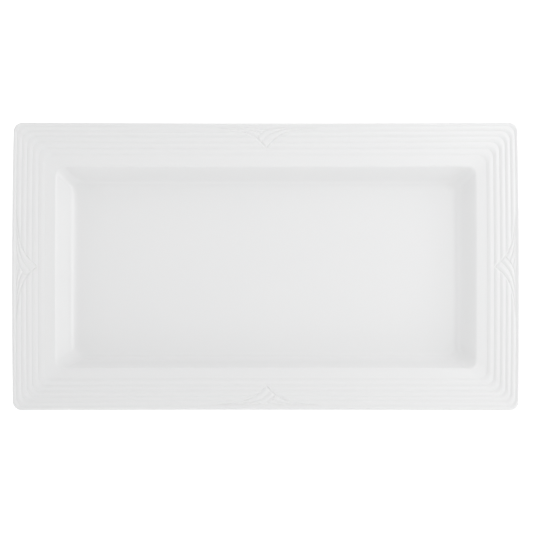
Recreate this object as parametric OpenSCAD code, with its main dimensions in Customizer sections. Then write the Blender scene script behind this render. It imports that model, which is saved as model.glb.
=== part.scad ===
// China serving platter: a long rounded rectangle with a sunk flat well and a flared, reeded rim.
// At the middle of each side the reeds from its two corners cross and end in a V.
// The platter stands on z = 0, its length runs along X and its centre is at x = y = 0.

/* [Platter] */
// Overall length, between the middles of the bowed ends
platter_length = 400; // [320:5:480]
// Overall width, over the corners
platter_width = 230; // [190:5:280]
// Height from the table to the top of the lip
platter_height = 30; // [27:1:36]
// Thickness of the fired body
body_thickness = 4; // [3:0.5:5]
// Thickness of the rim next to the lip
lip_thickness = 3.2; // [2.4:0.2:4]
// Radius of the corners of the lip, the reeds and the well edge
corner_radius = 7; // [6:0.5:10]
// How far each short end bows out at its middle
end_bow = 1; // [0:0.1:2]
// How far each long side bows in at its middle
side_bow = 0.6; // [0:0.1:2]

/* [Rim] */
// Width of the rim, from the outer edge to the well
rim_width = 34; // [32:1:40]
// Rise of the rim from the well to the lip
rim_rise = 6; // [3:0.5:8]
// Width of the plain rounded lip
lip_width = 2.8; // [2.4:0.2:3.6]
// Distance in from the outer edge to the highest line of the lip
lip_crown = 1; // [0.8:0.1:1.4]

/* [Reeds] */
// Number of reeds round the rim
reed_count = 5; // [3:1:5]
// Width of the outermost reed
outer_reed_width = 4; // [3:0.5:4.5]
// Width of the innermost reed
inner_reed_width = 5.5; // [4.5:0.5:6]
// Height of a reed above the rim
reed_height = 0.45; // [0.2:0.05:0.8]
// Width of the groove between two reeds
groove_width = 0.4; // [0.2:0.1:0.8]

/* [Crossed reeds] */
// How far the crossed reeds reach along the side, to each side of the middle
crossing_reach = 45; // [38:1:52]
// Length in which the inside of the V closes in on the lip groove to about a third
crossing_sweep = 11.8; // [9:0.2:14]

/* [Well] */
// Width of the wall between rim and floor at the short ends
end_wall_run = 20; // [12:1:24]
// Width of the wall between rim and floor along the long sides
side_wall_run = 15; // [10:0.5:18]
// Corner radius of the well floor
floor_corner_radius = 10; // [8:1:14]
// Share of the wall's width in which it curves up from the floor. Above that it is straight.
wall_curve = 0.6; // [0.3:0.1:0.9]

/* [Foot] */
// Height of the foot ring
foot_height = 2.5; // [1.5:0.5:4]
// Width of the foot ring's flat face
foot_width = 3.5; // [2.5:0.5:6]
// Distance of the foot ring in from the edge of the well floor
foot_inset = 1.5; // [1:0.5:6]

/* [Hidden] */

GLAZED_WHITE = [0.93, 0.94, 0.94];
BARE_CLAY = [0.86, 0.84, 0.80];

// The four sides and, by the same number, the corner that follows each one anticlockwise
RIGHT = 0;
BACK = 1;
LEFT = 2;
FRONT = 3;

half_length = platter_length / 2 - end_bow;
half_width = platter_width / 2;
floor_z = foot_height + body_thickness;
// Facets in each rounded corner, and stretches in each side, so that a side can bow
corner_steps = 6;
side_steps = 6;
wall_steps = 8;
lip_steps = 6;
// Lines across a reed, from one edge over its crown to the other
REED_LINES = [-1, -0.5, 0, 0.5, 1];
strip_steps = 14;

// --- Heights across the rim, by the distance in from the outer edge ---

function rim_z(inset) =
    platter_height - reed_height - rim_rise * (inset - lip_crown) / rim_width;
function rim_thickness(inset) = lip_thickness + (body_thickness - lip_thickness) * inset / rim_width;
function rim_under_z(inset) = rim_z(inset) - rim_thickness(inset);

// --- Outlines of the platter in plan ---

// Bows the plan: the short ends outwards and the long sides inwards
function bowed(p) = [
    p.x + end_bow * (p.x / half_length) * (1 - pow(p.y / half_width, 2)),
    p.y - side_bow * (p.y / half_width) * (1 - pow(p.x / half_length, 2))
];

function raised(p, z) = [bowed(p).x, bowed(p).y, z];

// The rounded corner after a side, for an outline set in from the ends and from the long sides
function corner_arc(side, end_inset, side_inset, radius) = [
    for (step = [0 : corner_steps])
        let (
            angle = 90 * (side + step / corner_steps),
            sign_x = (side == RIGHT || side == FRONT) ? 1 : -1,
            sign_y = (side == RIGHT || side == BACK) ? 1 : -1
        )
        [
            sign_x * (half_length - end_inset - radius) + radius * cos(angle),
            sign_y * (half_width - side_inset - radius) + radius * sin(angle)
        ]
];

// Points from one end to the other, without the last
function stretch(start, end, steps) = [for (step = [0 : steps - 1]) start + (end - start) * step / steps];

function outline(end_inset, side_inset, radius) = [
    for (side = [RIGHT : FRONT])
        let (
            arc = corner_arc(side, end_inset, side_inset, radius),
            next_arc = corner_arc((side + 1) % 4, end_inset, side_inset, radius)
        )
        each concat(
            [for (step = [0 : corner_steps - 1]) arc[step]],
            stretch(arc[corner_steps], next_arc[0], side_steps)
        )
];

function ring(end_inset, side_inset, radius, z) = [
    for (p = outline(end_inset, side_inset, radius)) raised(p, z)
];
function rim_ring(inset, z) = ring(inset, inset, corner_radius, z);

// --- Solids made from rows of points ---

// Two triangles between a pair of points on one row and the pair beside it on the next
function quad(a, b, c, d) = [[a, b, c], [a, c, d]];

// A band that runs right round the platter. Each ring is one line of its section, in turn.
module band(rings) {
    lines = len(rings);
    count = len(rings[0]);
    polyhedron(
        points = [for (line = rings) each line],
        faces = [
            for (i = [0 : lines - 1], j = [0 : count - 1])
                let (
                    i2 = (i + 1) % lines,
                    j2 = (j + 1) % count,
                    falls = rings[i][0].z > rings[i2][0].z
                )
                each (
                    falls
                    ? quad(i * count + j, i * count + j2, i2 * count + j2, i2 * count + j)
                    : quad(i2 * count + j, i * count + j, i * count + j2, i2 * count + j2)
                )
        ]
    );
}

// A low moulded strip with two ends. Each row is one line along it, from edge to edge,
// and it lies on the straight slope between the first row and the last.
module strip(rows) {
    lines = len(rows);
    count = len(rows[0]);
    polyhedron(
        points = [for (row = rows) each row],
        faces = concat(
            [
                for (i = [0 : lines - 1], j = [0 : count - 2])
                    let (i2 = (i + 1) % lines)
                    each quad(i * count + j, i * count + j + 1, i2 * count + j + 1, i2 * count + j)
            ],
            [for (i = [1 : lines - 2]) [0, i * count, (i + 1) * count]],
            [for (i = [1 : lines - 2]) [count - 1, (i + 2) * count - 1, (i + 1) * count - 1]]
        )
    );
}

// --- Wall of the well ---

// Shares of the wall's width and height covered at each step, from the floor up. All steps
// but the last are on the curve, along which the slope grows smoothly from nothing to its full value.
function wall_out(step) = step == wall_steps ? 1 : wall_curve * step / (wall_steps - 1);
function wall_up(step) =
    let (
        out = wall_out(step),
        turn = min(1, out / wall_curve),
        rise = wall_curve * (pow(turn, 3) - pow(turn, 4) / 2) + max(0, out - wall_curve)
    )
    rise / (1 - wall_curve / 2);

function wall_ring(step, top_inset, bottom_z, top_z) = ring(
    top_inset + (rim_width + end_wall_run - top_inset) * (1 - wall_out(step)),
    top_inset + (rim_width + side_wall_run - top_inset) * (1 - wall_out(step)),
    floor_corner_radius + (corner_radius - floor_corner_radius) * wall_out(step),
    bottom_z + (top_z - bottom_z) * wall_up(step)
);

// --- Reeds ---

function reed_width(index) = outer_reed_width
    + (inner_reed_width - outer_reed_width) * pow(index / (reed_count - 1), 2);
// Groove before the reed with this index, in from the outer edge
function groove_at(index) = index == 0 ? lip_width : groove_at(index - 1) + reed_width(index - 1);

// A line's place across a reed that lies between two grooves, and its height.
// Neither falls to nothing at a reed's tip, so that the tip is still a solid.
TIP_HALF_WIDTH = 0.05;
TIP_HEIGHT = 0.15;
function across(outer, inner, line) =
    (outer + inner) / 2 + line * max(TIP_HALF_WIDTH, (inner - outer - groove_width) / 2);
function crown(outer, inner, line) =
    reed_height * max(TIP_HEIGHT, min(1, (inner - outer) / outer_reed_width)) * cos(90 * line);

// --- Crossed reeds ---

// A point on a side: along is measured clockwise from its middle, inset from the outer edge
function on_side(side, along, inset) =
    let (out = (side % 2 == 0 ? half_length : half_width) - inset)
    [[out, -along], [along, out], [-out, along], [-along, -out]][side];

// The V's point reaches the groove before the innermost reed
crossing_depth = groove_at(reed_count - 1) - lip_width - groove_width;

// The curves that bound the two reeds of the upper band, which comes from the clockwise corner.
// Each one leaves the lip groove and sweeps in past the middle of the side.
function curve(along, depth_share, sweep_share) =
    lip_width + depth_share * crossing_depth * exp(-along / (sweep_share * crossing_sweep));
function inner_curve(along) = curve(along, 1, 1);
function middle_curve(along) = curve(along, 0.48, 0.86);
function outer_curve(along) = curve(along, 0.18, 0.58);
// The inside of the V
function v_edge(along) = inner_curve(abs(along));

// Where a curve of the band meets a curve that rises the other way, between two places
function meeting(gap, low, high, turns = 24) =
    let (middle = (low + high) / 2)
    turns == 0 ? middle
    : gap(middle) > 0 ? meeting(gap, middle, high, turns - 1)
    : meeting(gap, low, middle, turns - 1);

outer_tip = meeting(function (p) outer_curve(p) - v_edge(p), -crossing_reach, 0);
middle_tip = meeting(function (p) middle_curve(p) - v_edge(p), -crossing_reach, 0);
under_tip = meeting(function (p) outer_curve(p) - middle_curve(-p), -crossing_reach, 0);

// Half the length of the gap that the V leaves in a line of a reed
function v_half_gap(inset) = max(
    groove_width / 2,
    min(
        crossing_reach + groove_width,
        groove_width - crossing_sweep * ln((inset - lip_width) / crossing_depth)
    )
);

// One reed of a crossing, between two of the curves, from its tip out to its end at the lip groove.
// turn is 1 for the upper band, and -1 for the lower one, which comes from the other corner.
module crossed_strip(side, turn, tip, outer, inner) {
    strip([
        for (line = REED_LINES) [
            for (step = [0 : strip_steps])
                let (
                    along = tip + (crossing_reach - tip) * pow(step / strip_steps, 1.4),
                    from = outer(along),
                    to = max(from, inner(along)),
                    inset = across(from, to, turn * line)
                )
                raised(on_side(side, turn * along, inset), rim_z(inset) + crown(from, to, line))
        ]
    ]);
}

// The whole crossing on one side: the upper band whole, the lower one as far as it shows
module crossed_reeds(side) {
    color(GLAZED_WHITE) {
        crossed_strip(side, 1, outer_tip,
            function (p) outer_curve(p), function (p) min(middle_curve(p), v_edge(p)));
        crossed_strip(side, 1, middle_tip,
            function (p) middle_curve(p), function (p) v_edge(p));
        crossed_strip(side, -1, 0,
            function (p) outer_curve(p), function (p) min(middle_curve(p), outer_curve(-p)));
        crossed_strip(side, -1, -under_tip,
            function (p) middle_curve(p), function (p) min(inner_curve(p), outer_curve(-p)));
    }
}

// --- Sub-parts ---

module well_floor() {
    floor_outline = outline(
        rim_width + end_wall_run,
        rim_width + side_wall_run,
        floor_corner_radius
    );
    color(GLAZED_WHITE)
        translate([0, 0, foot_height])
            linear_extrude(body_thickness)
                polygon([for (p = floor_outline) bowed(p)]);
}

module well_wall() {
    under_inset = rim_width - body_thickness;
    color(GLAZED_WHITE)
        band(concat(
            [for (step = [wall_steps : -1 : 0]) wall_ring(step, rim_width, floor_z, rim_z(rim_width))],
            [
                for (step = [0 : wall_steps])
                    wall_ring(step, under_inset, foot_height, rim_under_z(under_inset))
            ]
        ));
}

module rim_flange() {
    under_inset = rim_width - body_thickness;
    color(GLAZED_WHITE)
        band(concat(
            [for (i = [0 : reed_count]) rim_ring(groove_at(i), rim_z(groove_at(i)))],
            [
                rim_ring(rim_width, rim_z(rim_width)),
                rim_ring(under_inset, rim_under_z(under_inset)),
                rim_ring(lip_width, rim_under_z(lip_width))
            ]
        ));
}

module rim_lip() {
    middle_z = (platter_height + rim_under_z(lip_crown)) / 2;
    half_height = platter_height - middle_z;
    color(GLAZED_WHITE)
        band(concat(
            [rim_ring(lip_width, rim_under_z(lip_width))],
            // Round the outside, from the underside up to the crown
            [
                for (step = [lip_steps : -1 : 0])
                    let (angle = 180 * step / lip_steps - 90)
                    rim_ring(lip_crown * (1 - cos(angle)), middle_z - half_height * sin(angle))
            ],
            // Down from the crown to the lip groove
            [
                for (share = [1 / 3, 2 / 3, 1])
                    let (inset = lip_crown + (lip_width - lip_crown) * share)
                    rim_ring(inset, rim_z(inset) + reed_height * cos(90 * share))
            ]
        ));
}

// Reeds that the V interrupts run from one V to the next, round one corner
module corner_reed(index, side) {
    outer = groove_at(index);
    inner = groove_at(index + 1);
    straight_steps = 3;
    strip([
        for (line = REED_LINES)
            let (
                inset = across(outer, inner, line),
                z = rim_z(inset) + crown(outer, inner, line),
                arc = corner_arc(side, inset, inset, corner_radius),
                start = on_side(side, -v_half_gap(inset), inset),
                end = on_side((side + 1) % 4, v_half_gap(inset), inset)
            )
            [
                for (p = concat(
                    stretch(start, arc[0], straight_steps),
                    [for (step = [0 : corner_steps - 1]) arc[step]],
                    stretch(arc[corner_steps], end, straight_steps),
                    [end]
                ))
                    raised(p, z)
            ]
    ]);
}

module rim_reeds() {
    innermost = reed_count - 1;
    color(GLAZED_WHITE) {
        for (index = [0 : innermost - 1], side = [RIGHT : FRONT])
            corner_reed(index, side);
        band([
            for (line = REED_LINES)
                let (inset = across(groove_at(innermost), groove_at(reed_count), line))
                rim_ring(inset, rim_z(inset) + crown(groove_at(innermost), groove_at(reed_count), line))
        ]);
    }
}

module crossed_reeds_back() { crossed_reeds(BACK); }
module crossed_reeds_right() { crossed_reeds(RIGHT); }
module crossed_reeds_front() { crossed_reeds(FRONT); }
module crossed_reeds_left() { crossed_reeds(LEFT); }

// A rounded rectangle in plan, set in from the edge of the well floor
module foot_outline(inset) {
    size_x = 2 * (half_length - rim_width - end_wall_run - inset);
    size_y = 2 * (half_width - rim_width - side_wall_run - inset);
    radius = floor_corner_radius - inset;
    square([size_x - 2 * radius, size_y], center = true);
    square([size_x, size_y - 2 * radius], center = true);
    for (x = [-1, 1], y = [-1, 1])
        translate([x * (size_x / 2 - radius), y * (size_y / 2 - radius)])
            circle(radius, $fn = 48);
}

module foot_ring() {
    color(BARE_CLAY)
        linear_extrude(foot_height)
            difference() {
                foot_outline(foot_inset);
                foot_outline(foot_inset + foot_width);
            }
}

well_floor();
well_wall();
rim_flange();
rim_lip();
rim_reeds();
crossed_reeds_back();
crossed_reeds_right();
crossed_reeds_front();
crossed_reeds_left();
foot_ring();
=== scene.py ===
"""China serving platter: its glazed surface, bare foot and studio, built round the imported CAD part.

The glazed surface is one grid of rings (lines round the platter) and columns (lines from the middle
of the well out over the lip and back underneath). Each named piece is a closed share of that grid and
takes its normals from the whole of it, so that no seam shows between two pieces.
Lengths in the shape functions are in millimetres, and the meshes are in metres.
"""

import math

import bpy
import numpy as np
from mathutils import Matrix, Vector


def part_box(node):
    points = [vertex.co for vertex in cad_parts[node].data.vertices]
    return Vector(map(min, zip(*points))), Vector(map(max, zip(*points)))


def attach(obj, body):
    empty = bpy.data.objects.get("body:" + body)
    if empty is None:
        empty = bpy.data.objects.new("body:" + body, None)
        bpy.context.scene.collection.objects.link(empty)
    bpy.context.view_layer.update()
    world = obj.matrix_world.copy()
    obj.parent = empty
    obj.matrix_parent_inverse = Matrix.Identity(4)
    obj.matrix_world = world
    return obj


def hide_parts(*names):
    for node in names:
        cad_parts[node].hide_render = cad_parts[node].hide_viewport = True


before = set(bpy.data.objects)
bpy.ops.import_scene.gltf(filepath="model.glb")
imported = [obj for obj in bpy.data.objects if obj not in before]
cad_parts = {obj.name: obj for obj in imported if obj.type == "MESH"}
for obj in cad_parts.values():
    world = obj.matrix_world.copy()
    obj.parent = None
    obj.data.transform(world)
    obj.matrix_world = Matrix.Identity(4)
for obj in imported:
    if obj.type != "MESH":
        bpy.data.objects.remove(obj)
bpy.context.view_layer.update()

MM = 0.001

# --- Shape of the platter -------------------------------------------------------------------------

lip_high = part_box("rim_lip")[1] / MM
floor_low, floor_high = (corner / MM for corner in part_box("well_floor"))
foot_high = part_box("foot_ring")[1] / MM

END_BOW = 1.0  # short ends bow out, long sides bow in
SIDE_BOW = 0.6
TOP_Z = lip_high.z
HALF_LENGTH = lip_high.x - END_BOW
HALF_WIDTH = lip_high.y
FLOOR_Z = floor_high.z
FLOOR_UNDER_Z = floor_low.z
BODY_THICKNESS = FLOOR_Z - FLOOR_UNDER_Z
LIP_THICKNESS = 3.2

RIM_WIDTH = 34.0
RIM_RISE = 6.0
LIP_WIDTH = 2.8
LIP_CROWN = 1.0  # distance in to the highest line of the lip
CORNER_RADIUS = 7.0
FLOOR_CORNER_RADIUS = 10.0
END_WALL_RUN = 20.0
SIDE_WALL_RUN = 15.0
WALL_CURVE = 0.6  # share of the wall's width in which it curves up from the floor
SHOULDER = 1.0  # how far the rounding at the well edge reaches into the rim and the wall
SHOULDER_INSET = RIM_WIDTH - SHOULDER
WALL_TOP = 1 - SHOULDER / END_WALL_RUN  # share of the wall's width at which that rounding ends
UNDER_INSET = RIM_WIDTH - BODY_THICKNESS  # where rim and wall meet on the underside
FLOOR_SAG = 0.25  # the middle of the floor lies this much lower than its edge

REED_COUNT = 5
OUTER_REED_WIDTH = 4.0
INNER_REED_WIDTH = 5.5
REED_HEIGHT = 0.45
NARROWING = 0.7  # a reed's height falls with this power of its width where it narrows
GLAZE_FILLET = 0.11  # how far glaze softens the bottom of a groove

CROSSING_REACH = 45.0
CROSSING_SWEEP = 11.8
POINT_GAP = 0.4  # from the point of the V to the groove of the innermost reed
CROSSING_FADE = 12.0  # length over which a crossing's curves run into the lip groove
FIELD_HEIGHT = 0.45  # share of a reed's height left to the field between a crossing and the lip
CUT_LENGTH = 1.1  # length of the rounded end of a reed that stops at a crossing line
CARVE_DEPTH = 0.15  # the lines of a crossing are cut this much deeper than the other grooves
CARVE_WIDTH = 0.42
CARVE_START = 0.6  # the lines reach their depth at this distance from the lip groove
RELIEF_BED = 0.3  # how deep the relief's hidden back lies in the rim
# Outer, middle and inner curve of a crossing's band, as shares of the crossing's depth and sweep
BAND_CURVES = ((0.18, 0.58), (0.48, 0.86), (1, 1))

# Steps of the grid along a side: across a crossing, from there to the corner, and round the corner
CROSSING_HALF = CROSSING_REACH + 2.0
CROSSING_STEPS = 320
PLAIN_EVERY = 16  # only one in this many of a crossing's columns is used where there is no relief
STRAIGHT_STEPS = 14
CORNER_STEPS = 16

# Steps of the grid from the middle of the well over the lip to the middle of the underside
FLOOR_STEPS = 16
WALL_STEPS = 28
SHOULDER_STEPS = 12
BAND_STEPS = 5  # the plain band between the well edge and the innermost reed
REED_STEPS = 18
REED_CROWDING = 0.55  # how much closer a reed's rings lie near its grooves, from 0 to 1
LIP_FLANK_STEPS = 8
LIP_ROUND_STEPS = 16
RIM_UNDER_STEPS = 7
SHOULDER_UNDER_STEPS = 8
WALL_UNDER_STEPS = 18
FLOOR_UNDER_STEPS = 8

RIGHT, BACK, LEFT, FRONT = range(4)
CROSSING, STRAIGHT, CORNER = range(3)


def rim_z(inset):
    """Height of the rim's plain slope at a distance in from the outer edge."""
    return TOP_Z - REED_HEIGHT - RIM_RISE * (inset - LIP_CROWN) / RIM_WIDTH


def rim_under_z(inset):
    thickness = LIP_THICKNESS + (BODY_THICKNESS - LIP_THICKNESS) * inset / RIM_WIDTH
    return rim_z(inset) - thickness


def groove_places():
    """Distances in from the outer edge of the grooves that bound the reeds."""
    places = [LIP_WIDTH]
    for index in range(REED_COUNT):
        share = (index / (REED_COUNT - 1)) ** 2
        places.append(places[-1] + OUTER_REED_WIDTH + (INNER_REED_WIDTH - OUTER_REED_WIDTH) * share)
    return places


GROOVES = groove_places()
CROSSING_DEPTH = GROOVES[-2] - LIP_WIDTH - POINT_GAP


# --- Columns and rings ----------------------------------------------------------------------------


def make_columns():
    """One row per column: its side, its kind and its value.

    The value is a place along the side in mm, measured clockwise from its middle, for a crossing
    column, a signed share of the rest of the side for a straight one, and an angle for a corner one.
    """
    columns = []
    shares = np.arange(1, STRAIGHT_STEPS) / STRAIGHT_STEPS
    places = np.linspace(CROSSING_HALF, -CROSSING_HALF, CROSSING_STEPS + 1)
    for side in (RIGHT, BACK, LEFT, FRONT):
        columns += [(side, STRAIGHT, share) for share in shares[::-1]]
        columns += [(side, CROSSING, place) for place in places]
        columns += [(side, STRAIGHT, -share) for share in shares]
        angles = np.linspace(0, math.pi / 2, CORNER_STEPS + 1) + side * math.pi / 2
        columns += [(side, CORNER, angle) for angle in angles]
    return np.array(columns)


COLUMNS = make_columns()
COLUMN_SIDE = COLUMNS[:, 0].astype(int)
COLUMN_KIND = COLUMNS[:, 1].astype(int)
COLUMN_VALUE = COLUMNS[:, 2]
IS_CROSSING = COLUMN_KIND == CROSSING
COUNT = len(COLUMNS)


def bow(plan):
    """Bows the plan: the short ends outwards and the long sides inwards."""
    x, y = plan[:, 0], plan[:, 1]
    return np.stack(
        [
            x + END_BOW * (x / HALF_LENGTH) * (1 - (y / HALF_WIDTH) ** 2),
            y - SIDE_BOW * (y / HALF_WIDTH) * (1 - (x / HALF_LENGTH) ** 2),
        ],
        axis=1,
    )


def ring_plan(end_inset, side_inset, radius):
    """Where each column crosses a rounded outline set in from the ends and the long sides."""
    half_x, half_y = HALF_LENGTH - end_inset, HALF_WIDTH - side_inset
    runs_along_y = (COLUMN_SIDE == RIGHT) | (COLUMN_SIDE == LEFT)
    limit = np.where(runs_along_y, half_y, half_x) - radius
    along = np.where(
        IS_CROSSING,
        COLUMN_VALUE,
        np.sign(COLUMN_VALUE) * (CROSSING_HALF + (limit - CROSSING_HALF) * np.abs(COLUMN_VALUE)),
    )
    out = np.where(runs_along_y, half_x, half_y)
    on_side = np.stack(
        [
            np.stack([out, -along]),
            np.stack([along, out]),
            np.stack([-out, along]),
            np.stack([-along, -out]),
        ]
    )
    plan = on_side[COLUMN_SIDE, :, np.arange(COUNT)]
    corner = COLUMN_KIND == CORNER
    sign_x = np.where((COLUMN_SIDE == RIGHT) | (COLUMN_SIDE == FRONT), 1, -1)
    sign_y = np.where((COLUMN_SIDE == RIGHT) | (COLUMN_SIDE == BACK), 1, -1)
    arc = np.stack(
        [
            sign_x * (half_x - radius) + radius * np.cos(COLUMN_VALUE),
            sign_y * (half_y - radius) + radius * np.sin(COLUMN_VALUE),
        ],
        axis=1,
    )
    return bow(np.where(corner[:, None], arc, plan))


def ring(end_inset, side_inset, radius, z):
    """The points of one ring. z is one height, or one for each column."""
    heights = np.broadcast_to(z, (COUNT,))
    return np.column_stack([ring_plan(end_inset, side_inset, radius), heights])


def rim_ring(inset, z):
    return ring(inset, inset, CORNER_RADIUS, z)


# --- Relief of the rim ----------------------------------------------------------------------------


def softened(distance):
    """A distance from a groove, rounded off near it as pooled glaze rounds the groove."""
    return np.sqrt(distance**2 + GLAZE_FILLET**2) - GLAZE_FILLET


def softened_share(share):
    """Rises from 0 to 1 over the inner flank of the lip."""
    reach = LIP_WIDTH - LIP_CROWN
    return math.sin(math.pi / 2 * min(1, softened(share * reach) / (reach - GLAZE_FILLET)))


def cushion(to_outer, to_inner):
    """Height from 0 to 1 across a moulded reed, from its distances to the two grooves beside it."""
    width = np.maximum(to_outer + to_inner, 1e-6)
    near = softened(np.maximum(np.minimum(to_outer, to_inner), 0))
    shape = np.sin(math.pi / 2 * np.clip(2 * near / width, 0, 1))
    return shape * np.clip(width / OUTER_REED_WIDTH, 0, 1) ** NARROWING


def cut_ramp(distance):
    """Falls from 1 to 0 where a reed ends at another one's edge."""
    return np.sin(math.pi / 2 * np.clip(softened(np.maximum(distance, 0)) / CUT_LENGTH, 0, 1))


def reed_relief(inset):
    """Height from 0 to 1 of the reeds that run round the rim, at a distance from the outer edge."""
    height = np.zeros_like(inset)
    for outer, inner in zip(GROOVES, GROOVES[1:]):
        inside = (inset >= outer) & (inset <= inner)
        height = np.where(inside, cushion(inset - outer, inner - inset), height)
    return height


def crossing_fade(along):
    """Falls from 1 to 0 over the last stretch of a crossing, where its curves join the lip groove."""
    fade = np.clip((CROSSING_REACH - np.abs(along)) / CROSSING_FADE, 0, 1)
    return fade * fade * (3 - 2 * fade)


def crossing_curves(along):
    """The upper band's outer, middle and inner curves, as (distance in, steepness) at a place along."""
    curves = []
    for depth_share, sweep_share in BAND_CURVES:
        sweep = sweep_share * CROSSING_SWEEP
        fall = depth_share * CROSSING_DEPTH * np.exp(-along / sweep)
        fade = np.where(along > 0, crossing_fade(along), 1)
        curves.append((LIP_WIDTH + fall * fade, fall / sweep))
    return curves


def across(gap, steepness):
    """The distance straight across to a curve, from the gap measured across the rim."""
    return gap / np.sqrt(1 + steepness**2)


def crossing_relief(along, inset):
    """Relief in mm round the middle of a side, where the bands of reeds cross in a V."""
    upper, under = crossing_curves(along), crossing_curves(-along)
    (a, slope_a), (b, _), (c, slope_c) = upper
    (ua, _), (ub, _), (uc, slope_uc) = under
    v_edge = np.minimum(c, uc)
    slope_v = np.where(c < uc, slope_c, slope_uc)

    height = reed_relief(inset) * cut_ramp(across(inset - v_edge, slope_v))

    field = FIELD_HEIGHT * cushion(inset - LIP_WIDTH, np.minimum(a, ua) - inset)
    height = np.where(inset < v_edge, field, height)

    under_cut = cut_ramp(across(a - inset, slope_a))
    in_under = (inset >= ua) & (inset < np.minimum(a, uc))
    low_band = np.where(inset < ub, cushion(inset - ua, ub - inset), cushion(inset - ub, uc - inset))
    height = np.where(in_under, low_band * under_cut, height)

    over_cut = cut_ramp(across(uc - inset, slope_uc))
    in_over = (inset >= a) & (inset <= v_edge)
    high_band = np.where(inset < b, cushion(inset - a, b - inset), cushion(inset - b, c - inset))
    height = np.where(in_over, high_band * over_cut, height)

    # The lines themselves, each as far as the other band leaves it in sight
    carved = np.exp(-((across(inset - v_edge, slope_v) / CARVE_WIDTH) ** 2))
    for curve, slope in upper[:2]:
        line = np.exp(-((across(inset - curve, slope) / CARVE_WIDTH) ** 2))
        carved = np.where(curve < v_edge, np.maximum(carved, line), carved)
    for curve, slope in under[:2]:
        line = np.exp(-((across(inset - curve, slope) / CARVE_WIDTH) ** 2))
        carved = np.where(curve < a, np.maximum(carved, line), carved)
    carved = carved * crossing_fade(along) * np.clip((inset - LIP_WIDTH) / CARVE_START, 0, 1)
    return REED_HEIGHT * height - CARVE_DEPTH * carved


def rim_relief(inset):
    """Height of the relief in mm, in each column, at one distance from the outer edge."""
    insets = np.full(COUNT, float(inset))
    crossing = crossing_relief(np.where(IS_CROSSING, COLUMN_VALUE, 0), insets)
    return np.where(IS_CROSSING, crossing, REED_HEIGHT * reed_relief(insets))


# --- The whole glazed surface, ring by ring -------------------------------------------------------


def wall_height(out):
    """Share of the wall's height covered at a share of its width, from the floor up."""
    turn = min(1, out / WALL_CURVE)
    rise = WALL_CURVE * (turn**3 - turn**4 / 2) + max(0, out - WALL_CURVE)
    return rise / (1 - WALL_CURVE / 2)


def wall_ring(out, top_inset, bottom_z, top_z):
    """One ring of the wall, at a share of its width, as (end inset, side inset, corner radius, z)."""
    end_run = RIM_WIDTH + END_WALL_RUN - top_inset
    side_run = RIM_WIDTH + SIDE_WALL_RUN - top_inset
    radius = FLOOR_CORNER_RADIUS + (CORNER_RADIUS - FLOOR_CORNER_RADIUS) * out
    return np.array(
        [
            top_inset + end_run * (1 - out),
            top_inset + side_run * (1 - out),
            radius,
            bottom_z + (top_z - bottom_z) * wall_height(out),
        ]
    )


def bezier(start, middle, end, steps):
    for t in np.linspace(0, 1, steps + 1)[1:]:
        yield (1 - t) ** 2 * start + 2 * t * (1 - t) * middle + t**2 * end


def polar_rings(edge, z_at, steps):
    """Rings shrunk towards the middle, without the edge itself, from the middle outwards."""
    shares = np.linspace(0, 1, steps + 1)[1:-1]
    return [np.column_stack([edge[:, :2] * share, np.full(COUNT, z_at(share))]) for share in shares]


def even_ring(inset, z):
    """A ring set in by the same distance all round, as the four values that wall_ring gives."""
    return np.array([inset, inset, CORNER_RADIUS, z])


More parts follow.
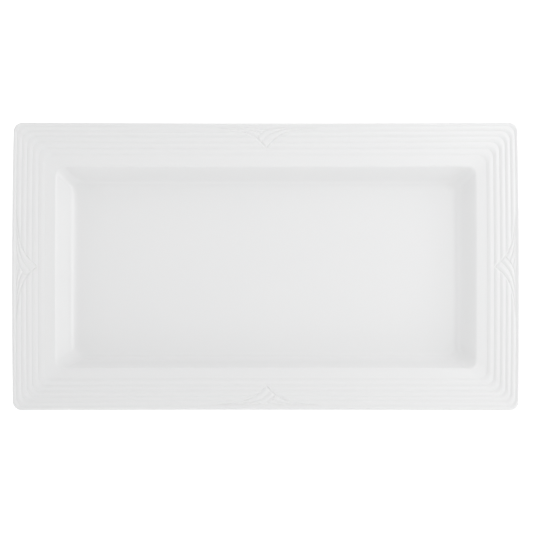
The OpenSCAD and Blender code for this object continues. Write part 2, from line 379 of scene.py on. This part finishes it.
class Surface:
    """The rings in order, and the row numbers at which one part of the platter ends."""

    def __init__(self):
        self.rows = []
        self.marks = {}

    def mark(self, name):
        """Names the row that is added next."""
        self.marks[name] = len(self.rows)

    def add_curve(self, name, start, corner, end, steps):
        """Rings that round off the corner between two parts, which meet halfway along it."""
        curve = list(bezier(start, corner, end, steps))
        self.marks[name] = len(self.rows) + len(curve) // 2
        self.rows += [ring(*values) for values in curve]

    def add_well(self):
        """The floor from its middle, the wall, and the rounding up to the rim."""
        edge_z = rim_z(RIM_WIDTH)
        floor_edge = ring(*wall_ring(0, RIM_WIDTH, FLOOR_Z, edge_z))
        self.rows += polar_rings(
            floor_edge, lambda share: FLOOR_Z - FLOOR_SAG * (1 - share**2) ** 2, FLOOR_STEPS
        )
        self.mark("floor_edge")
        self.rows.append(floor_edge)
        for out in np.linspace(0, WALL_TOP, WALL_STEPS + 1)[1:]:
            self.rows.append(ring(*wall_ring(out, RIM_WIDTH, FLOOR_Z, edge_z)))
        self.add_curve(
            "well_edge",
            wall_ring(WALL_TOP, RIM_WIDTH, FLOOR_Z, edge_z),
            even_ring(RIM_WIDTH, edge_z),
            even_ring(SHOULDER_INSET, rim_z(SHOULDER_INSET)),
            SHOULDER_STEPS,
        )

    def add_rim(self):
        """The plain band, and the reeds from the innermost to the lip groove."""
        for inset in np.linspace(SHOULDER_INSET, GROOVES[-1], BAND_STEPS + 1)[1:-1]:
            self.rows.append(rim_ring(inset, rim_z(inset)))
        turn = np.linspace(0, 1, REED_STEPS + 1)[:-1]
        spread = turn - REED_CROWDING * np.sin(2 * math.pi * turn) / (2 * math.pi)
        for index in range(REED_COUNT, 0, -1):
            self.mark(f"groove_{index}")
            for share in spread:
                inset = GROOVES[index] + (GROOVES[index - 1] - GROOVES[index]) * share
                self.rows.append(rim_ring(inset, rim_z(inset) + rim_relief(inset)))
        self.mark("groove_0")

    def add_lip(self):
        """The lip from its groove up to the crown, and round the edge to its lowest line."""
        crown_height = TOP_Z - rim_z(LIP_CROWN)
        for share in np.linspace(0, 1, LIP_FLANK_STEPS + 1):
            inset = LIP_WIDTH + (LIP_CROWN - LIP_WIDTH) * share
            self.rows.append(rim_ring(inset, rim_z(inset) + crown_height * softened_share(share)))
        middle_z = (TOP_Z + rim_under_z(LIP_CROWN)) / 2
        for angle in np.linspace(90, -90, LIP_ROUND_STEPS + 1)[1:]:
            inset = LIP_CROWN * (1 - math.cos(math.radians(angle)))
            z = middle_z + (TOP_Z - middle_z) * math.sin(math.radians(angle))
            self.rows.append(rim_ring(inset, z))

    def add_underside(self):
        """The undersides of rim, wall and floor, in to the middle."""
        self.mark("lip_under")
        edge_z = rim_under_z(UNDER_INSET)
        outer_inset = UNDER_INSET - SHOULDER
        for inset in np.linspace(LIP_WIDTH, outer_inset, RIM_UNDER_STEPS + 1):
            self.rows.append(rim_ring(inset, rim_under_z(inset)))
        self.add_curve(
            "wall_under",
            even_ring(outer_inset, rim_under_z(outer_inset)),
            even_ring(UNDER_INSET, edge_z),
            wall_ring(WALL_TOP, UNDER_INSET, FLOOR_UNDER_Z, edge_z),
            SHOULDER_UNDER_STEPS,
        )
        for out in np.linspace(WALL_TOP, 0, WALL_UNDER_STEPS + 1)[1:-1]:
            self.rows.append(ring(*wall_ring(out, UNDER_INSET, FLOOR_UNDER_Z, edge_z)))
        self.mark("floor_under")
        floor_edge = ring(*wall_ring(0, UNDER_INSET, FLOOR_UNDER_Z, edge_z))
        self.rows.append(floor_edge)
        self.rows += polar_rings(floor_edge, lambda share: FLOOR_UNDER_Z, FLOOR_UNDER_STEPS)[::-1]


def make_surface():
    """The whole surface, from the middle of the floor over the lip to the middle of the underside."""
    surface = Surface()
    surface.add_well()
    surface.add_rim()
    surface.add_lip()
    surface.add_underside()
    return np.array(surface.rows), surface.marks


def grid_normals(points):
    """Outward normals of the surface at every point of the grid."""
    along_rows = np.empty_like(points)
    along_rows[1:-1] = points[2:] - points[:-2]
    along_rows[0] = points[1] - points[0]
    along_rows[-1] = points[-1] - points[-2]
    along_columns = np.roll(points, -1, axis=1) - np.roll(points, 1, axis=1)
    normals = np.cross(along_rows, along_columns)
    return normals / np.linalg.norm(normals, axis=2, keepdims=True)


POINTS, MARKS = make_surface()
NORMALS = grid_normals(POINTS)


# --- Pieces from the grid -------------------------------------------------------------------------


class Shell:
    """A closed mesh put together from shares of the grid. Hidden faces keep their own normals."""

    def __init__(self, name):
        self.name = name
        self.index = {}
        self.points = []
        self.normals = []
        self.faces = []
        self.shown = []

    def vertex(self, row, column):
        key = (row, column % COUNT)
        if key not in self.index:
            self.index[key] = len(self.points)
            self.points.append(POINTS[key])
            self.normals.append(NORMALS[key])
        return self.index[key]

    def extra(self, point, normal):
        self.points.append(np.array(point))
        self.normals.append(np.array(normal))
        return len(self.points) - 1

    def face(self, corners, shown):
        self.faces.append(corners)
        self.shown.append(shown)

    def quads(self, rows, columns, shown=True):
        """Faces between each row and the next, and each column and the next."""
        for row, next_row in zip(rows, rows[1:]):
            for column, next_column in zip(columns, columns[1:]):
                corners = [
                    self.vertex(row, column),
                    self.vertex(next_row, column),
                    self.vertex(next_row, next_column),
                    self.vertex(row, next_column),
                ]
                self.face(corners, shown)

    def take(self, other):
        """Takes over all of another shell's faces."""
        offset = len(self.points)
        self.points += other.points
        self.normals += other.normals
        for face, shown in zip(other.faces, other.shown):
            self.face([v + offset for v in face], shown)

    def build(self, material):
        mesh = bpy.data.meshes.new(self.name)
        mesh.from_pydata(np.array(self.points) * MM, [], self.faces)
        mesh.shade_smooth()
        loop_normals = []
        for face, shown in zip(self.faces, self.shown):
            loop_normals += [self.normals[v] if shown else (0, 0, 0) for v in face]
        mesh.normals_split_custom_set(loop_normals)
        mesh.materials.append(material)
        piece = bpy.data.objects.new(self.name, mesh)
        bpy.context.scene.collection.objects.link(piece)
        return piece


ALL_ROUND = list(range(COUNT + 1))
# The grooves on either side of the innermost reed, which runs past the crossings whole
INNERMOST_GROOVE = f"groove_{REED_COUNT}"
NEXT_GROOVE = f"groove_{REED_COUNT - 1}"


def plain_round():
    """The columns that do where there is no relief, the ends of each crossing among them."""
    place = (np.cumsum(IS_CROSSING) - 1) % (CROSSING_STEPS + 1)
    kept = np.flatnonzero(~IS_CROSSING | (place % PLAIN_EVERY == 0))
    return [int(column) for column in kept] + [COUNT]


PLAIN_ROUND = plain_round()


def rows_between(first, last):
    return list(range(first, last + 1))


def patch(shell, rows, columns):
    """A share of the relief with two ends: its top, its hidden back in the rim and its end faces."""
    shell.quads(rows, columns)
    down = np.array((0, 0, -1))
    back = [
        [shell.extra(POINTS[row, column % COUNT] + RELIEF_BED * down, down) for column in columns]
        for row in (rows[-1], rows[0])
    ]
    edges = [[shell.vertex(row, column) for column in columns] for row in (rows[-1], rows[0])]
    for line, next_line in ((edges[0], back[0]), (back[0], back[1]), (back[1], edges[1])):
        for index in range(len(columns) - 1):
            corners = [line[index], next_line[index], next_line[index + 1], line[index + 1]]
            shell.face(corners, False)
    for place, column in ((0, columns[0]), (-1, columns[-1])):
        end = [shell.vertex(row, column) for row in rows] + [back[0][place], back[1][place]]
        shell.face(end if place else end[::-1], False)


def crossing_columns(side):
    """The columns across the crossing of one side."""
    found = np.flatnonzero(IS_CROSSING & (COLUMN_SIDE == side))
    return list(range(found[0], found[-1] + 1))


def make_floor(material):
    shell = Shell("well_floor_glazed")
    last = len(POINTS) - 1
    shell.quads(rows_between(0, MARKS["floor_edge"]), PLAIN_ROUND)
    shell.quads(rows_between(MARKS["floor_under"], last), PLAIN_ROUND)
    shell.quads([MARKS["floor_edge"], MARKS["floor_under"]], PLAIN_ROUND, shown=False)
    top_middle = shell.extra((0, 0, FLOOR_Z - FLOOR_SAG), (0, 0, 1))
    under_middle = shell.extra((0, 0, FLOOR_UNDER_Z), (0, 0, -1))
    for column, next_column in zip(PLAIN_ROUND, PLAIN_ROUND[1:]):
        shell.face([top_middle, shell.vertex(0, column), shell.vertex(0, next_column)], True)
        shell.face([under_middle, shell.vertex(last, next_column), shell.vertex(last, column)], True)
    return shell.build(material)


def make_ring_piece(name, material, *shares):
    """A piece that runs right round: its shares of the surface, with hidden faces between them."""
    shell = Shell(name)
    for rows, next_rows in zip(shares, shares[1:] + shares[:1]):
        shell.quads(rows, PLAIN_ROUND)
        shell.quads([rows[-1], next_rows[0]], PLAIN_ROUND, shown=False)
    return shell.build(material)


def make_reeds(material):
    """The innermost reed whole, and the others from one crossing to the next."""
    shell = Shell("rim_reeds_glazed")
    inner = rows_between(MARKS[INNERMOST_GROOVE], MARKS[NEXT_GROOVE])
    shell.quads(inner, ALL_ROUND)
    shell.quads([inner[-1], inner[0]], ALL_ROUND, shown=False)
    outer = rows_between(MARKS[NEXT_GROOVE], MARKS["groove_0"])
    for side in (RIGHT, BACK, LEFT, FRONT):
        start = crossing_columns(side)[-1]
        stop = crossing_columns((side + 1) % 4)[0]
        if stop < start:
            stop += COUNT
        corner = Shell("corner")
        patch(corner, outer, list(range(start, stop + 1)))
        shell.take(corner)
    return shell.build(material)


def make_crossing(name, side, material):
    shell = Shell(name)
    rows = rows_between(MARKS[NEXT_GROOVE], MARKS["groove_0"])
    patch(shell, rows, crossing_columns(side))
    return shell.build(material)


# --- Foot ring ------------------------------------------------------------------------------------

FOOT_WIDTH = 3.5
FOOT_INSET = 1.5  # in from the edge of the well floor
FOOT_ROUNDING = 0.7  # radius between the bare face and the flanks
FOOT_FILLET = 0.9  # radius between the flanks and the platter's body
FOOT_CORNER_STEPS = 12
FOOT_ROUND_STEPS = 5


def foot_outline(offset):
    """A rounded rectangle, offset outwards from the middle line of the foot ring."""
    half_x = foot_high.x - FOOT_WIDTH / 2 + offset
    half_y = foot_high.y - FOOT_WIDTH / 2 + offset
    radius = FLOOR_CORNER_RADIUS - FOOT_INSET - FOOT_WIDTH / 2 + offset
    angles = np.linspace(0, math.pi / 2, FOOT_CORNER_STEPS + 1)
    points = []
    for quarter, (sign_x, sign_y) in enumerate(((1, 1), (-1, 1), (-1, -1), (1, -1))):
        centre = np.array([sign_x * (half_x - radius), sign_y * (half_y - radius)])
        for angle in angles + quarter * math.pi / 2:
            points.append(centre + radius * np.array([math.cos(angle), math.sin(angle)]))
    return np.array(points)


def foot_section():
    """Half the foot ring's section as (distance out, z), from the platter's body to the bare face."""
    half = FOOT_WIDTH / 2
    section = []
    for angle in np.linspace(0, math.pi / 2, FOOT_ROUND_STEPS + 1):
        out = half + FOOT_FILLET * (1 - math.sin(angle))
        section.append((out, foot_high.z - FOOT_FILLET * (1 - math.cos(angle))))
    for angle in np.linspace(0, math.pi / 2, FOOT_ROUND_STEPS + 1):
        out = half - FOOT_ROUNDING * (1 - math.cos(angle))
        section.append((out, FOOT_ROUNDING * (1 - math.sin(angle))))
    return section


def make_foot(glaze, bare):
    """The foot ring: glazed flanks, and a bare face that it stood on to be fired."""
    half_section = foot_section()
    section = half_section + [(-out, z) for out, z in half_section[::-1]]
    rings = []
    for out, z in section:
        outline = foot_outline(out)
        rings.append(np.column_stack([outline, np.full(len(outline), z)]))
    count = len(rings[0])
    faces = []
    for row in range(len(rings)):
        next_row = (row + 1) % len(rings)
        for column in range(count):
            next_column = (column + 1) % count
            corners = ((row, column), (next_row, column), (next_row, next_column), (row, next_column))
            faces.append([line * count + place for line, place in corners])
    mesh = bpy.data.meshes.new("foot_ring_bare")
    mesh.from_pydata(np.concatenate(rings) * MM, [], faces)
    mesh.shade_smooth()
    mesh.set_sharp_from_angle(angle=math.radians(50))
    mesh.materials.append(glaze)
    mesh.materials.append(bare)
    for polygon in mesh.polygons:
        centre_z = sum(mesh.vertices[v].co.z for v in polygon.vertices) / len(polygon.vertices)
        polygon.material_index = 1 if centre_z < FOOT_ROUNDING * 0.5 * MM else 0
    piece = bpy.data.objects.new("foot_ring_bare", mesh)
    bpy.context.scene.collection.objects.link(piece)
    return piece


# --- Materials ------------------------------------------------------------------------------------


class Graph:
    """A node tree, with a short way to add each kind of node that is used more than once.

    Where a method takes a value, it is a number, a colour or another node's output.
    """

    def __init__(self, tree):
        self.nodes = tree.nodes
        self.links = tree.links

    def node(self, kind):
        return self.nodes.new("ShaderNode" + kind)

    def feed(self, socket, value):
        if isinstance(value, bpy.types.NodeSocket):
            self.links.new(value, socket)
        else:
            socket.default_value = value

    def math(self, operation, *values):
        node = self.node("Math")
        node.operation = operation
        for socket, value in zip(node.inputs, values):
            self.feed(socket, value)
        return node.outputs[0]

    def ramp(self, value, start, end, low, high, kind="LINEAR"):
        """Goes from low to high as the value goes from start to end."""
        node = self.node("MapRange")
        node.interpolation_type = kind
        self.feed(node.inputs["Value"], value)
        self.feed(node.inputs["From Min"], start)
        self.feed(node.inputs["From Max"], end)
        self.feed(node.inputs["To Min"], low)
        self.feed(node.inputs["To Max"], high)
        return node.outputs["Result"]

    def smooth_ramp(self, value, start, end, low, high):
        return self.ramp(value, start, end, low, high, "SMOOTHSTEP")

    def noise(self, place, scale, detail):
        node = self.node("TexNoise")
        self.feed(node.inputs["Vector"], place)
        self.feed(node.inputs["Scale"], scale)
        self.feed(node.inputs["Detail"], detail)
        return node.outputs["Fac"]

    def blend(self, share, first, second):
        """The first colour where the share is 0, and the second where it is 1."""
        node = self.node("Mix")
        node.data_type = "RGBA"
        self.feed(node.inputs["Factor"], share)
        self.feed(node.inputs[6], first)
        self.feed(node.inputs[7], second)
        return node.outputs[2]

    def choose(self, share, first, second):
        """The first shader where the share is 0, and the second where it is 1."""
        node = self.node("MixShader")
        for socket, value in zip(node.inputs, (share, first, second)):
            self.feed(socket, value)
        return node.outputs[0]

    def bump(self, height, strength, distance):
        node = self.node("Bump")
        self.feed(node.inputs["Height"], height)
        self.feed(node.inputs["Strength"], strength)
        self.feed(node.inputs["Distance"], distance)
        return node.outputs["Normal"]


def new_material(name):
    """A new material, its graph and its surface shader."""
    material = bpy.data.materials.new(name)
    material.use_nodes = True
    graph = Graph(material.node_tree)
    return material, graph, graph.nodes["Principled BSDF"]


def glazed_porcelain():
    """Clear gloss glaze, with a slow ripple, over a white body that is faintly clouded."""
    material, graph, shader = new_material("glazed_porcelain")
    place = graph.node("TexCoord").outputs["Object"]
    clouds = graph.noise(place, scale=14, detail=3)
    colour = graph.blend(clouds, (0.836, 0.838, 0.84, 1), (0.85, 0.851, 0.85, 1))
    ripple = graph.noise(place, scale=55, detail=1.5)
    graph.feed(shader.inputs["Base Color"], colour)
    graph.feed(shader.inputs["Roughness"], 0.12)
    graph.feed(shader.inputs["IOR"], 1.5)
    graph.feed(shader.inputs["Normal"], graph.bump(ripple, strength=0.06, distance=0.0002))
    return material


def bare_porcelain():
    """Unglazed porcelain: fine-grained, warmer in colour, and rubbed lighter in places."""
    material, graph, shader = new_material("bare_porcelain")
    place = graph.node("TexCoord").outputs["Object"]
    grain = graph.noise(place, scale=1800, detail=4)
    rubbing = graph.noise(place, scale=60, detail=5)
    colour = graph.blend(rubbing, (0.66, 0.62, 0.56, 1), (0.80, 0.77, 0.72, 1))
    graph.feed(shader.inputs["Base Color"], colour)
    graph.feed(shader.inputs["Roughness"], graph.ramp(grain, 0, 1, 0.6, 0.85))
    graph.feed(shader.inputs["Normal"], graph.bump(grain, strength=0.5, distance=0.00005))
    return material


# --- The platter ----------------------------------------------------------------------------------


def make_platter():
    """Every piece of the platter, with the CAD nodes that it stands for."""
    glaze, bare = glazed_porcelain(), bare_porcelain()
    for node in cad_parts.values():
        for holder in node.material_slots:
            holder.material = glaze
    wall = make_ring_piece(
        "well_wall_glazed",
        glaze,
        rows_between(MARKS["floor_edge"], MARKS["well_edge"]),
        rows_between(MARKS["wall_under"], MARKS["floor_under"]),
    )
    # The rim's body: its inner band and its underside show, and the reeds lie on the rest
    flange = make_ring_piece(
        "rim_flange_glazed",
        glaze,
        rows_between(MARKS["well_edge"], MARKS[INNERMOST_GROOVE]),
        rows_between(MARKS["lip_under"], MARKS["wall_under"]),
    )
    lip_rows = rows_between(MARKS["groove_0"], MARKS["lip_under"])
    lip = make_ring_piece("rim_lip_glazed", glaze, lip_rows)
    pieces = [
        (make_floor(glaze), "well_floor"),
        (wall, "well_wall"),
        (flange, "rim_flange"),
        (lip, "rim_lip"),
        (make_reeds(glaze), "rim_reeds"),
    ]
    for word, side in (("back", BACK), ("right", RIGHT), ("front", FRONT), ("left", LEFT)):
        node = f"crossed_reeds_{word}"
        pieces.append((make_crossing(node + "_glazed", side, glaze), node))
    pieces.append((make_foot(glaze, bare), "foot_ring"))
    for piece, node in pieces:
        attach(piece, "root")
        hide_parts(node)


make_platter()


# --- Studio ---------------------------------------------------------------------------------------

LOW_GLOW = 0.64
TOP_GLOW = 1.04
# Azimuth, elevation, cosines of the angles at which the glow ends and is full, and strength
GLOWS = (
    (180, 12, 0.79, 0.99, 0.77),
    (-90, 12, 0.79, 0.99, 0.95),
    (90, 12, 0.79, 0.99, 0.27),
    (-90, 45, 0.64, 0.98, 0.24),
    (90, 45, 0.64, 0.98, 0.30),
)
# Name, azimuth, elevation, distance, size and power of each soft box
KEYS = (
    ("key_low", 0, 15, 3.2, 1.7, 15),
    ("key_high", 40, 45, 0.78, 0.6, 0.84),
    ("key_near", 0, 38, 0.58, 0.45, 0.3),
)


def make_table():
    """A plain table: white seen from above, pale grey seen from the side, and clear from below."""
    bpy.ops.mesh.primitive_circle_add(vertices=96, radius=30, fill_type="NGON")
    table = bpy.context.object
    table.name = "table"
    material, graph, shader = new_material("table_white")
    seen = graph.node("LightPath").outputs["Is Camera Ray"]
    slant = graph.smooth_ramp(graph.node("LayerWeight").outputs["Facing"], 0.1, 0.5, 0, 1)
    seen_aslant = graph.math("MULTIPLY", seen, slant)
    seen_from_above = graph.math("SUBTRACT", seen, seen_aslant)
    colour = graph.blend(seen_aslant, (0.88, 0.88, 0.88, 1), (0.6, 0.6, 0.6, 1))
    graph.feed(shader.inputs["Base Color"], colour)
    graph.feed(shader.inputs["Roughness"], 0.9)

    # It glows a little, so that the platter's underside isn't black, and more to a camera above it
    graph.feed(shader.inputs["Emission Color"], (1, 1, 1, 1))
    glow = graph.math("MULTIPLY_ADD", seen_from_above, 0.36, 0.1)
    graph.feed(shader.inputs["Emission Strength"], glow)

    below = graph.node("NewGeometry").outputs["Backfacing"]
    clear = graph.node("BsdfTransparent").outputs[0]
    surface = graph.choose(below, shader.outputs[0], clear)
    graph.feed(graph.nodes["Material Output"].inputs["Surface"], surface)
    table.data.materials.append(material)


def direction(azimuth, elevation):
    """A way out from the platter. Azimuth 0 is to the right and 90 behind."""
    turn, lift = math.radians(azimuth), math.radians(elevation)
    return Vector((math.cos(lift) * math.cos(turn), math.cos(lift) * math.sin(turn), math.sin(lift)))


def soft_light(name, azimuth, elevation, distance, size, watts):
    """A square soft box aimed at the platter."""
    way = direction(azimuth, elevation)
    data = bpy.data.lights.new(name, "AREA")
    data.shape = "SQUARE"
    data.size = size
    data.energy = watts
    light = bpy.data.objects.new(name, data)
    light.location = way * distance
    light.rotation_mode = "QUATERNION"
    light.rotation_quaternion = (-way).to_track_quat("-Z", "Y")
    light.visible_camera = False
    bpy.context.scene.collection.objects.link(light)


def make_world():
    """A white tent: bright overhead and low down, most of all to the left and in front.

    The camera itself sees plain white.
    """
    world = bpy.data.worlds.new("studio")
    world.use_nodes = True
    graph = Graph(world.node_tree)
    way = graph.node("TexCoord").outputs["Generated"]
    split = graph.node("SeparateXYZ")
    graph.feed(split.inputs[0], way)
    height = split.outputs["Z"]
    total = graph.math(
        "ADD",
        graph.smooth_ramp(height, 0.35, 0.85, LOW_GLOW, 0),
        graph.smooth_ramp(height, 0.65, 1, 0, TOP_GLOW),
    )
    for azimuth, elevation, edge, middle, strength in GLOWS:
        toward = graph.node("VectorMath")
        toward.operation = "DOT_PRODUCT"
        graph.feed(toward.inputs[0], way)
        graph.feed(toward.inputs[1], direction(azimuth, elevation))
        glow = graph.smooth_ramp(toward.outputs["Value"], edge, middle, 0, strength)
        total = graph.math("ADD", total, glow)
    room = graph.nodes["Background"]
    graph.feed(room.inputs["Color"], (0.998, 0.998, 1, 1))
    graph.feed(room.inputs["Strength"], total)
    plain = graph.node("Background")
    graph.feed(plain.inputs["Color"], (1, 1, 1, 1))
    seen = graph.node("LightPath").outputs["Is Camera Ray"]
    surface = graph.choose(seen, room.outputs[0], plain.outputs[0])
    graph.feed(graph.nodes["World Output"].inputs["Surface"], surface)
    bpy.context.scene.world = world


# --- Camera ---------------------------------------------------------------------------------------

TILT = math.radians(9.5)  # of the view, from straight down towards the front
LENS = 1000.0
SENSOR = 36.0
FRAMED_SHARE = 0.9523  # of the picture's width that the platter fills
LOOK_OFFSET = (0.0005, -0.0005)  # the picture's centre from the middle of the lip, right and up


def make_camera():
    data = bpy.data.cameras.new("camera")
    data.lens, data.sensor_width = LENS, SENSOR
    data.dof.use_dof = False
    camera = bpy.data.objects.new("camera", data)
    back = Vector((0, -math.sin(TILT), math.cos(TILT)))
    low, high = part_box("rim_lip")
    target = Vector(((low.x + high.x) / 2, (low.y + high.y) / 2, high.z))
    target += Vector((LOOK_OFFSET[0], LOOK_OFFSET[1], 0))
    distance = (high.x - low.x) / FRAMED_SHARE * LENS / SENSOR
    camera.location = target + back * distance
    camera.rotation_mode = "QUATERNION"
    camera.rotation_quaternion = (-back).to_track_quat("-Z", "Y")
    data.clip_start, data.clip_end = distance * 0.1, distance * 3
    bpy.context.scene.collection.objects.link(camera)
    bpy.context.scene.camera = camera


make_table()
make_world()
for key in KEYS:
    soft_light(*key)
make_camera()

scene = bpy.context.scene
scene.view_settings.view_transform = "Standard"
scene.view_settings.look = "None"
